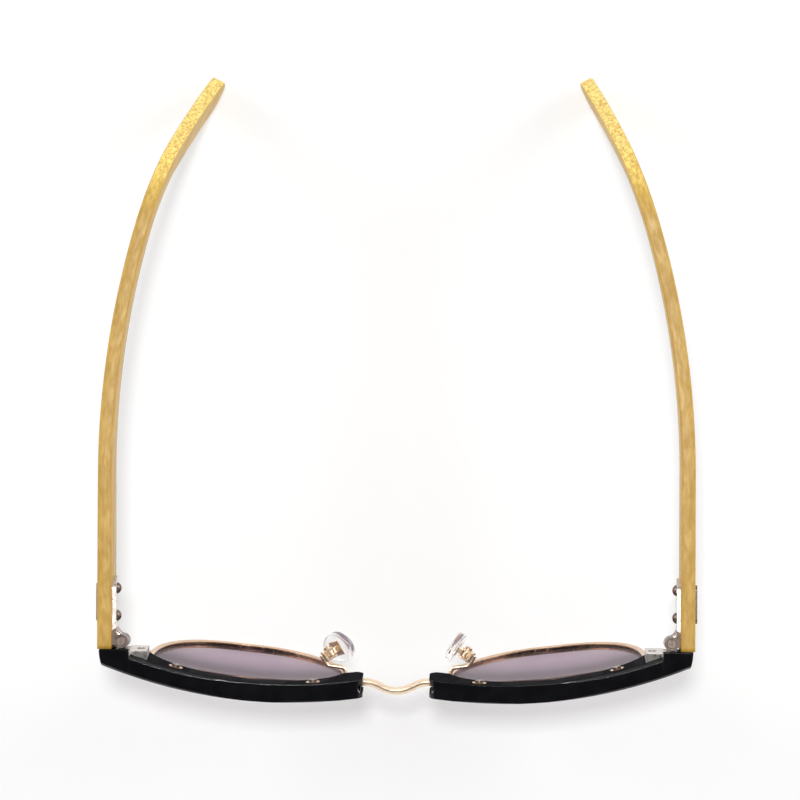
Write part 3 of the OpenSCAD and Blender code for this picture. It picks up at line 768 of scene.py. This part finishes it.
@dataclass
class BambooTemple:
    """The wood of a temple, swept from a rounded section along its curve, in the place of its CAD node.

    Sizes are in millimetres, and angles in degrees. The seat is where the temple meets the front. The two
    planks lie apart in the grain, so that they differ.
    """

    side: Side
    thickness: float = 3.4
    outer_x: float = 71.5
    root_h: float = 12.0
    middle_h: float = 8.0
    tip_h: float = 9.2
    straight: float = 42.0
    taper_at: float = 17.5
    curve_r: float = 212.0
    bend_at: float = 101.5
    bend_r: float = 24.0
    bend: float = 55.0
    tail: float = 36.0
    edge_r: float = 0.5
    seat_gap: float = 0.15
    seat_y: float = -63.9455
    mid_z: float = HINGE_Z
    plank_apart: float = 40.0
    stations: int = 150
    corner_cuts: int = 5
    end_cuts: int = 12
    end_turn: float = 86.0

    @property
    def bend_end(self) -> float:
        """Length at which the downward bend ends."""
        return self.bend_at + self.bend_r * math.radians(self.bend)

    @property
    def tip_round(self) -> float:
        """Radius of the round end."""
        return self.tip_h / 2

    @property
    def round_from(self) -> float:
        """Length at which the round end starts."""
        return self.bend_end + self.tail - self.tip_round

    def slope(self, length: float) -> float:
        """Downward slope at a length, in radians."""
        return min(max((length - self.bend_at) / self.bend_r, 0.0), math.radians(self.bend))

    def run(self, length: float) -> float:
        """Level distance covered after a length."""
        slope = self.slope(length)
        past = max(length - self.bend_end, 0.0)
        return min(length, self.bend_at) + self.bend_r * math.sin(slope) + past * math.cos(slope)

    def drop(self, length: float) -> float:
        """Height lost after a length."""
        slope = self.slope(length)
        past = max(length - self.bend_end, 0.0)
        return self.bend_r * (1 - math.cos(slope)) + past * math.sin(slope)

    def half_height(self, length: float) -> float:
        """Half the height of the section at a length.

        Args:
            length: Length along the temple.

        Returns:
            Half the height, which falls to nothing round the end.
        """
        def eased(start: float, end: float) -> float:
            """How far the length is from start to end, as a share that starts and ends level."""
            share = min(max((length - start) / (end - start), 0.0), 1.0)
            return share * share * (3 - 2 * share)

        taper = (self.middle_h - self.root_h) * eased(self.taper_at, self.bend_at)
        flare = (self.tip_h - self.middle_h) * eased(self.bend_at, self.round_from)
        past = max(length - self.round_from, 0.0) / self.tip_round
        return (self.root_h + taper + flare) / 2 * math.sqrt(max(1 - past * past, 0.0))

    def lengths(self) -> list[float]:
        """Lengths at which sections stand.

        Returns:
            Even steps along the temple, closer together round its end.
        """
        even = [self.round_from * i / self.stations for i in range(self.stations)]
        turns = [math.radians(self.end_turn) * i / self.end_cuts for i in range(self.end_cuts + 1)]
        return even + [self.round_from + self.tip_round * math.sin(turn) for turn in turns]

    def section_frame(self, length: float) -> Matrix:
        """Where a section stands and how it is turned.

        Args:
            length: Length along the temple.

        Returns:
            A matrix whose X goes outwards, whose Y goes up and whose Z goes along the temple, in millimetres.
        """
        level = self.run(length)
        turn = max(level - self.straight, 0.0) / self.curve_r
        slope = self.slope(length)
        centre = Vector((
            self.outer_x - self.thickness / 2 - self.curve_r * (1 - math.cos(turn)),
            self.seat_y + self.seat_gap + min(level, self.straight) + self.curve_r * math.sin(turn),
            self.mid_z - self.drop(length),
        ))
        outwards = Vector((math.cos(turn), math.sin(turn), 0))
        upwards = Vector((
            -math.sin(turn) * math.sin(slope),
            math.cos(turn) * math.sin(slope),
            math.cos(slope),
        ))
        turned = Matrix((outwards, upwards, outwards.cross(upwards))).transposed().to_4x4()
        return Matrix.Translation(centre) @ turned

    def build(self, finish: Material) -> Piece:
        """Builds the wood and puts it in the place of its CAD node.

        Args:
            finish: The bamboo.

        Returns:
            The new object.
        """
        mesh = bmesh.new()
        mesh.verts.layers.float_vector.new(Grain.PLANK.value)
        for grain in (Grain.ACROSS, Grain.UPPER):
            mesh.verts.layers.float.new(grain.value)
        made = bmesh.ops.create_circle(mesh, cap_ends=True, radius=1.0, segments=4 * (self.corner_cuts + 1))
        loop = made["verts"]
        for index, length in enumerate(self.lengths()):
            if index:
                loop = self._next_section(mesh, loop)
            self._shape_section(mesh, loop, length)
        bmesh.ops.contextual_create(mesh, geom=list(reversed(self._ring_edges(loop))))
        to_side(mesh, self.side)
        node = "temple_" + self.side.word
        data = as_data(mesh, "bamboo_" + node)
        data.shade_smooth()
        data.materials.append(finish)
        return stand_in(data, node)

    @staticmethod
    def _ring_edges(loop: Sequence[Vert]) -> list[Edge]:
        """The edges round a section."""
        inside = set(loop)
        return [e for v in loop for e in v.link_edges if e.other_vert(v) in inside and e.verts[0] is v]

    def _next_section(self, mesh: BMesh, loop: list[Vert]) -> list[Vert]:
        """Extrudes a section to the next one.

        Args:
            mesh: The mesh under construction.
            loop: The points of the last section.

        Returns:
            The points of the new section, in the same order.
        """
        made = bmesh.ops.extrude_edge_only(mesh, edges=self._ring_edges(loop))
        fresh = set(verts_of(made["geom"]))
        return [next(e.other_vert(v) for e in v.link_edges if e.other_vert(v) in fresh) for v in loop]

    def _shape_section(self, mesh: BMesh, loop: Sequence[Vert], length: float) -> None:
        """Puts a section's points on a rounded rectangle, and notes where they lie in the unbent plank.

        The place in the plank is in metres. The other notes say how far a point belongs to the upper or lower
        face, and how far that face cuts across the fibres.

        Args:
            mesh: The mesh under construction.
            loop: The points of the section.
            length: Its length along the temple.
        """
        plank = mesh.verts.layers.float_vector[Grain.PLANK.value]
        across, upper = (mesh.verts.layers.float[grain.value] for grain in (Grain.ACROSS, Grain.UPPER))
        half = self.half_height(length)
        radius = min(self.edge_r, half)
        place = self.section_frame(length)
        slope = self.slope(length)
        for index, vert in enumerate(loop):
            corner, step = divmod(index, self.corner_cuts + 1)
            angle = math.radians(90 * corner + 90 * step / self.corner_cuts)
            x = (self.thickness / 2 - radius) * (1 if corner in (0, 3) else -1) + radius * math.cos(angle)
            y = (half - radius) * (1 if corner < 2 else -1) + radius * math.sin(angle)
            vert.co = place @ Vector((x, y, 0))
            vert[plank] = MM * Vector((
                x + self.plank_apart * self.side.value,
                self.run(length) - y * math.sin(slope),
                y * math.cos(slope) - self.drop(length),
            ))
            vert[upper] = math.sin(angle) ** 2
            vert[across] = math.sin(slope) * vert[upper]


@dataclass
class BrowBar:
    """One brow bar: a copy of its CAD node with its upper edge rounded and its hidden back left dull.

    Sizes are in millimetres, and angles in degrees. Facing and back say how squarely a face or an edge has to
    look one way to count as an end, as the top or as the back.
    """

    side: Side
    merge: float = 0.002
    flat: float = 1.0
    sharp: float = 32.0
    lean: float = 8.0
    facing: float = 0.9
    back: float = 0.8
    edge_r: float = 0.35
    edge_cuts: int = 3
    lobe_r: float = 1.0
    lobe_cuts: int = 5
    notch_r: float = 1.35
    notch_out: float = 0.2
    notch_l: float = 40.0
    notch_cuts: int = 40
    evenness: int = 100

    @property
    def leaning(self) -> Matrix:
        """The turn by which the front leans."""
        return Matrix.Rotation(math.radians(self.lean), 3, "X")

    def build(self, polished: Material, dull: Material) -> Piece:
        """Builds the bar in the place of its CAD node.

        Args:
            polished: The finish of its outside.
            dull: The finish of its back.

        Returns:
            The new object.
        """
        node = "brow_" + self.side.word
        mesh = merged_copy(node, self.merge)
        flat = math.radians(self.flat)
        bmesh.ops.dissolve_limit(mesh, angle_limit=flat, verts=mesh.verts, edges=mesh.edges)
        nose = self._nose_end(mesh)
        top = self._largest(mesh, Vector((0, 0, 1)))
        round_edges(mesh, list(top.edges), self.edge_r * MM, self.edge_cuts)
        data = self._notched(mesh, nose)
        data.name = "acetate_" + node
        for face in data.polygons:
            face.material_index = int(face.normal.y > self.back)
        data.shade_smooth()
        data.set_sharp_from_angle(angle=math.radians(self.sharp))
        for finish in (polished, dull):
            data.materials.append(finish)
        piece = stand_in(data, node)
        even = piece.modifiers.new("even_shading", "WEIGHTED_NORMAL")
        even.keep_sharp = True
        even.weight = self.evenness
        return piece

    def _largest(self, mesh: BMesh, way: Vector) -> bmesh.types.BMFace:
        """The largest face that looks one way."""
        return max((f for f in mesh.faces if f.normal.dot(way) > self.facing), key=lambda f: f.calc_area())

    def _nose_end(self, mesh: BMesh) -> Vector:
        """Rounds the upright edges of the end beside the nose.

        Args:
            mesh: The mesh under construction.

        Returns:
            The middle of that end.
        """
        end = self._largest(mesh, Vector((-self.side.value, 0, 0)))
        middle = end.calc_center_median()
        upright = self.leaning @ Vector((0, 0, 1))
        ways = {e: (e.verts[1].co - e.verts[0].co).normalized() for e in end.edges}
        stand = [e for e, way in ways.items() if abs(way.dot(upright)) > self.facing]
        round_edges(mesh, stand, self.lobe_r * MM, self.lobe_cuts)
        return middle

    def _notched(self, mesh: BMesh, nose: Vector) -> bpy.types.Mesh:
        """Cuts the round notch that the bridge passes.

        Args:
            mesh: The bar, which is used up.
            nose: The middle of the end beside the nose.

        Returns:
            The notched mesh.
        """
        tool = bmesh.new()
        bmesh.ops.create_cone(tool, cap_ends=True, segments=self.notch_cuts, radius1=self.notch_r * MM,
                              radius2=self.notch_r * MM, depth=self.notch_l * MM)
        bmesh.ops.rotate(tool, verts=tool.verts, matrix=self.leaning)
        outwards = Vector((self.side.value * self.notch_out * MM, 0, 0))
        bmesh.ops.translate(tool, verts=tool.verts, vec=nose - outwards)
        bar = add_object("bar", as_data(mesh, "bar"))
        cutter = add_object("cutter", as_data(tool, "cutter"))
        cut = bar.modifiers.new("notch", "BOOLEAN")
        cut.operation = "DIFFERENCE"
        cut.object = cutter
        return baked(bar, cutter)


@dataclass
class SoftCopy:
    """A copy of a small CAD node with every edge worn round, as on a moulded or tumbled piece.

    Sizes are in millimetres.
    """

    node: str
    slot: str
    voxel: float
    passes: int
    wear: float = 0.5
    merge: float = 0.001

    def build(self, finish: Material) -> Piece:
        """Builds the piece in the place of its CAD node.

        Args:
            finish: Its finish.

        Returns:
            The new object.
        """
        name = "rough_" + self.node
        blank = add_object(name, as_data(merged_copy(self.node, self.merge), name))
        blank.modifiers.new("even", "REMESH").voxel_size = self.voxel * MM
        worn = blank.modifiers.new("worn", "SMOOTH")
        worn.factor = self.wear
        worn.iterations = self.passes
        data = baked(blank)
        data.name = "soft_" + self.node
        data.shade_smooth()
        data.materials.append(finish)
        return stand_in(data, self.node)


@dataclass
class HingeWeb:
    """The two curved webs that join the outer knuckles of a hinge to the leaf on the temple.

    Sizes are in millimetres from the middle of the right hinge, and angles in degrees. The hollow is the
    centre of a web's round side, and the root is its corner inside the leaf.
    """

    side: Side
    middle: Place = (HINGE_X, HINGE_Y, HINGE_Z)
    leaf_x: float = 1.25
    reach: float = 3.6
    hollow: Place = (-0.9, 3.7, 0.0)
    turn: float = -78.6
    cuts: int = 12
    root_x: float = 1.5
    root_y: float = 0.9
    low: float = 1.2
    height: float = 2.1
    edge_r: float = 0.12
    edge_cuts: int = 3
    crease: float = 50.0
    sharp: float = 40.0

    def build(self, finish: Material) -> Piece:
        """Builds both webs as one piece on the temple.

        Args:
            finish: Their finish.

        Returns:
            The new object.
        """
        mesh = bmesh.new()
        lifted = bmesh.ops.extrude_face_region(mesh, geom=[self._outline(mesh)])
        bmesh.ops.translate(mesh, verts=verts_of(lifted["geom"]), vec=(0, 0, self.height))
        bmesh.ops.recalc_face_normals(mesh, faces=mesh.faces)
        creases = [e for e in mesh.edges if e.calc_face_angle(0) > math.radians(self.crease)]
        round_edges(mesh, creases, self.edge_r, self.edge_cuts)
        lower = bmesh.ops.duplicate(mesh, geom=mesh.verts[:] + mesh.edges[:] + mesh.faces[:])
        bmesh.ops.translate(mesh, verts=verts_of(lower["geom"]), vec=(0, 0, -2 * self.low - self.height))
        bmesh.ops.translate(mesh, verts=mesh.verts, vec=Vector(self.middle) + Vector((0, 0, self.low)))
        to_side(mesh, self.side)
        data = as_data(mesh, "hinge_web_" + self.side.word)
        data.shade_smooth()
        data.set_sharp_from_angle(angle=math.radians(self.sharp))
        data.materials.append(finish)
        piece = add_object(data.name, data)
        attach(piece, "temple_" + self.side.word)
        return piece

    def _outline(self, mesh: BMesh) -> bmesh.types.BMFace:
        """Draws a web seen from above.

        Args:
            mesh: The mesh under construction.

        Returns:
            The flat web.
        """
        start = mesh.verts.new((self.leaf_x, self.reach, 0))
        spun = bmesh.ops.spin(mesh, geom=[start], cent=self.hollow, axis=(0, 0, 1),
                              angle=math.radians(self.turn), steps=self.cuts)
        last = verts_of(spun["geom_last"])[0]
        for place in ((0, self.root_y), (self.root_x, self.root_y), (self.root_x, self.reach)):
            last = bmesh.ops.extrude_vert_indiv(mesh, verts=[last])["verts"][0]
            last.co = (*place, 0)
        mesh.edges.new((last, start))
        return bmesh.ops.contextual_create(mesh, geom=mesh.edges[:])["faces"][0]


@dataclass
class Front:
    """The front, which doesn't move: brow bars, rims, lenses, bridge, front hinge leaves and their screws."""

    finishes: Finishes

    def dress(self) -> None:
        """Dresses the CAD nodes of the front."""
        dress(self.finishes.black, "brow_left", "brow_right")
        # the rims take the darker gold, whose darkness is painted shade
        dress(self.finishes.gold, "rim_left", "rim_right")
        dress(self.finishes.champagne, "bridge")
        dress(self.finishes.nickel, "brow_screws", "rim_screw_")
        dress(self.finishes.plate, "hinge_front_")
        dress(self.finishes.bronze, "hinge_plate_screws")
        dress(self.finishes.smoke, "lens_")

    def build(self) -> list[Piece]:
        """Builds both brow bars."""
        return [BrowBar(side).build(self.finishes.black, self.finishes.dull) for side in Side]


@dataclass
class PadGroup:
    """One nose pad with its arm, its stem and its screw. The voxels are in millimetres."""

    side: Side
    finishes: Finishes
    pad_voxel: float = 0.12
    pad_passes: int = 10
    metal_voxel: float = 0.06
    metal_passes: int = 5

    def dress(self) -> None:
        """Dresses the CAD nodes of the pad."""
        for start in ("pad_arm_", "pad_screw_", "pad_stem_"):
            dress(self.finishes.champagne, start + self.side.word)
        dress(self.finishes.clear, "nose_pad_" + self.side.word)

    def build(self) -> list[Piece]:
        """Builds the worn copies of the pad, its arm and its stem.

        Returns:
            The new objects.
        """
        pad = SoftCopy("nose_pad_" + self.side.word, "clear_pad", self.pad_voxel, self.pad_passes)
        metal = [
            SoftCopy(start + self.side.word, "gold_metal", self.metal_voxel, self.metal_passes)
            for start in ("pad_arm_", "pad_stem_")
        ]
        return [pad.build(self.finishes.clear), *(copy.build(self.finishes.champagne) for copy in metal)]


@dataclass
class TempleGroup:
    """One temple: its bamboo, hinge leaf and webs, hinge screw, outer plaque and rivet caps."""

    side: Side
    finishes: Finishes

    def dress(self) -> None:
        """Dresses the CAD nodes of the temple."""
        dress(self.finishes.leaf, "hinge_leaf_" + self.side.word)
        dress(self.finishes.nickel, "hinge_screw_" + self.side.word)
        dress(self.finishes.bronze, "plaque_" + self.side.word, "rivet_caps_" + self.side.word)

    def build(self) -> list[Piece]:
        """Builds the bamboo and the webs of the hinge."""
        wood = BambooTemple(self.side).build(self.finishes.bamboo)
        return [wood, HingeWeb(self.side).build(self.finishes.nickel)]


@dataclass(frozen=True)
class Lamp:
    """A square soft light that faces the object. Places and size are in metres, and power is in watts."""

    name: str
    place: Place
    size: float
    power: float
    aim: Place = (0.0, 0.0, 0.02)

    def build(self) -> None:
        """Adds the lamp."""
        data = bpy.data.lights.new(self.name, "AREA")
        data.size = self.size
        data.energy = self.power
        lamp = add_object(self.name, data)
        lamp.location = self.place
        way = Vector(self.aim) - Vector(self.place)
        lamp.rotation_euler = way.to_track_quat("-Z", "Y").to_euler()


@dataclass
class Stage:
    """White floor, soft lights and the camera of the photograph.

    Sizes are in metres, and angles in degrees. The floor glows white to the eye, but less near the object,
    where it keeps a shadow. What shines mirrors a ceiling that grows dim between two heights of the sky.
    """

    eye: Place = (0.02538, -0.00415, 0.90842)
    tilt: Place = (0.013, 1.628, 0.201)
    lens: float = 162.5
    sensor: float = 36.0
    floor: float = 6.0
    floor_cuts: int = 8
    specks: float = 60.0
    near: float = 0.1
    far: float = 0.45
    glow: float = 0.4
    ambient: float = 0.34
    ceiling_from: float = 0.5
    ceiling_to: float = 0.9
    white: Colour = (1.0, 1.0, 1.0, 1.0)
    off_white: Colour = srgb(252, 252, 252)
    ceiling: Colour = (0.06, 0.06, 0.065, 1.0)
    lamps: tuple[Lamp, ...] = (
        Lamp("key_lamp", place=(0.0, 0.18, 1.35), size=0.16, power=8.7),
        Lamp("left_lamp", place=(-1.05, 0.45, 0.42), size=0.7, power=6.0),
        Lamp("right_lamp", place=(1.05, 0.45, 0.42), size=0.7, power=7.0),
    )

    def build(self) -> None:
        """Builds the whole stage."""
        self._camera()
        self._floor()
        self._world()
        for lamp in self.lamps:
            lamp.build()

    def _camera(self) -> None:
        """Puts the camera where the photograph was taken from."""
        data = bpy.data.cameras.new("camera")
        data.lens = self.lens
        data.sensor_width = self.sensor
        camera = add_object("camera", data)
        turned = Matrix.Identity(3)
        for axis, angle in zip("XYZ", self.tilt):
            turned = turned @ Matrix.Rotation(math.radians(angle), 3, axis)
        camera.matrix_world = Matrix.Translation(self.eye) @ turned.to_4x4()
        bpy.context.scene.camera = camera

    @staticmethod
    def _seen(nodes: Nodes) -> Socket:
        """A mask of the rays that see the background directly, in metal or through glass.

        Args:
            nodes: The nodes to add to.

        Returns:
            One for such a ray, or nothing.
        """
        path = nodes.add("LightPath").outputs
        both = nodes.math("ADD", path["Is Camera Ray"], path["Is Glossy Ray"], clamp=True)
        return nodes.math("ADD", both, path["Is Transmission Ray"], clamp=True)

    def _floor(self) -> None:
        """A large pale floor that stays white and keeps a soft shadow."""
        mesh = bmesh.new()
        cuts = self.floor_cuts
        bmesh.ops.create_grid(mesh, x_segments=cuts, y_segments=cuts, size=self.floor / 2)
        data = as_data(mesh, "floor")
        material = bpy.data.materials.new("white_floor")
        material.use_nodes = True
        nodes = Nodes(material.node_tree)
        place = nodes.place()
        matt = nodes.add("BsdfDiffuse")
        speck = nodes.noise(place, self.specks)
        nodes.link(nodes.mix(speck, self.off_white, self.white), matt.inputs["Color"])
        light = nodes.fill(nodes.add("Emission"), {"Color": self.white})
        away = nodes.add("VectorMath", operation="LENGTH")
        nodes.link(place, away.inputs[0])
        glowing = nodes.span(away.outputs["Value"], self.near, self.far, to_low=self.glow)
        share = nodes.math("MULTIPLY", self._seen(nodes), glowing)
        both = nodes.mix_shaders(share, matt.outputs["BSDF"], light.outputs["Emission"])
        nodes.link(both, nodes.add("OutputMaterial").inputs["Surface"])
        data.materials.append(material)
        floor = add_object("floor", data)

    def _world(self) -> None:
        """White surroundings under a dim ceiling, with a plain level of light on the object."""
        world = bpy.data.worlds.new("studio")
        world.use_nodes = True
        bpy.context.scene.world = world
        nodes = Nodes(world.node_tree)
        light = nodes.fill(nodes.add("Background"), {"Color": self.white, "Strength": self.ambient}).outputs
        height = nodes.apart(nodes.add("TexCoord").outputs["Generated"])["Z"]
        ceiling = nodes.span(height, self.ceiling_from, self.ceiling_to)
        sky = nodes.mix(ceiling, self.white, self.ceiling)
        backdrop = nodes.fill(nodes.add("Background"), {"Color": sky}).outputs
        both = nodes.mix_shaders(self._seen(nodes), light["Background"], backdrop["Background"])
        nodes.link(both, nodes.add("OutputWorld").inputs["Surface"])


def main() -> None:
    """Builds the stage, and then each sub-assembly with its finishes."""
    logging.basicConfig(level=logging.INFO)
    bpy.context.scene.view_settings.view_transform = "Standard"
    Stage().build()
    finishes = Finishes()
    pads = [PadGroup(side, finishes) for side in Side]
    temples = [TempleGroup(side, finishes) for side in Side]
    for assembly in (Front(finishes), *pads, *temples):
        assembly.dress()
        for piece in assembly.build():
            LOG.info("%s: %d faces", piece.name, len(piece.data.polygons))


if __name__ == "__main__":
    main()
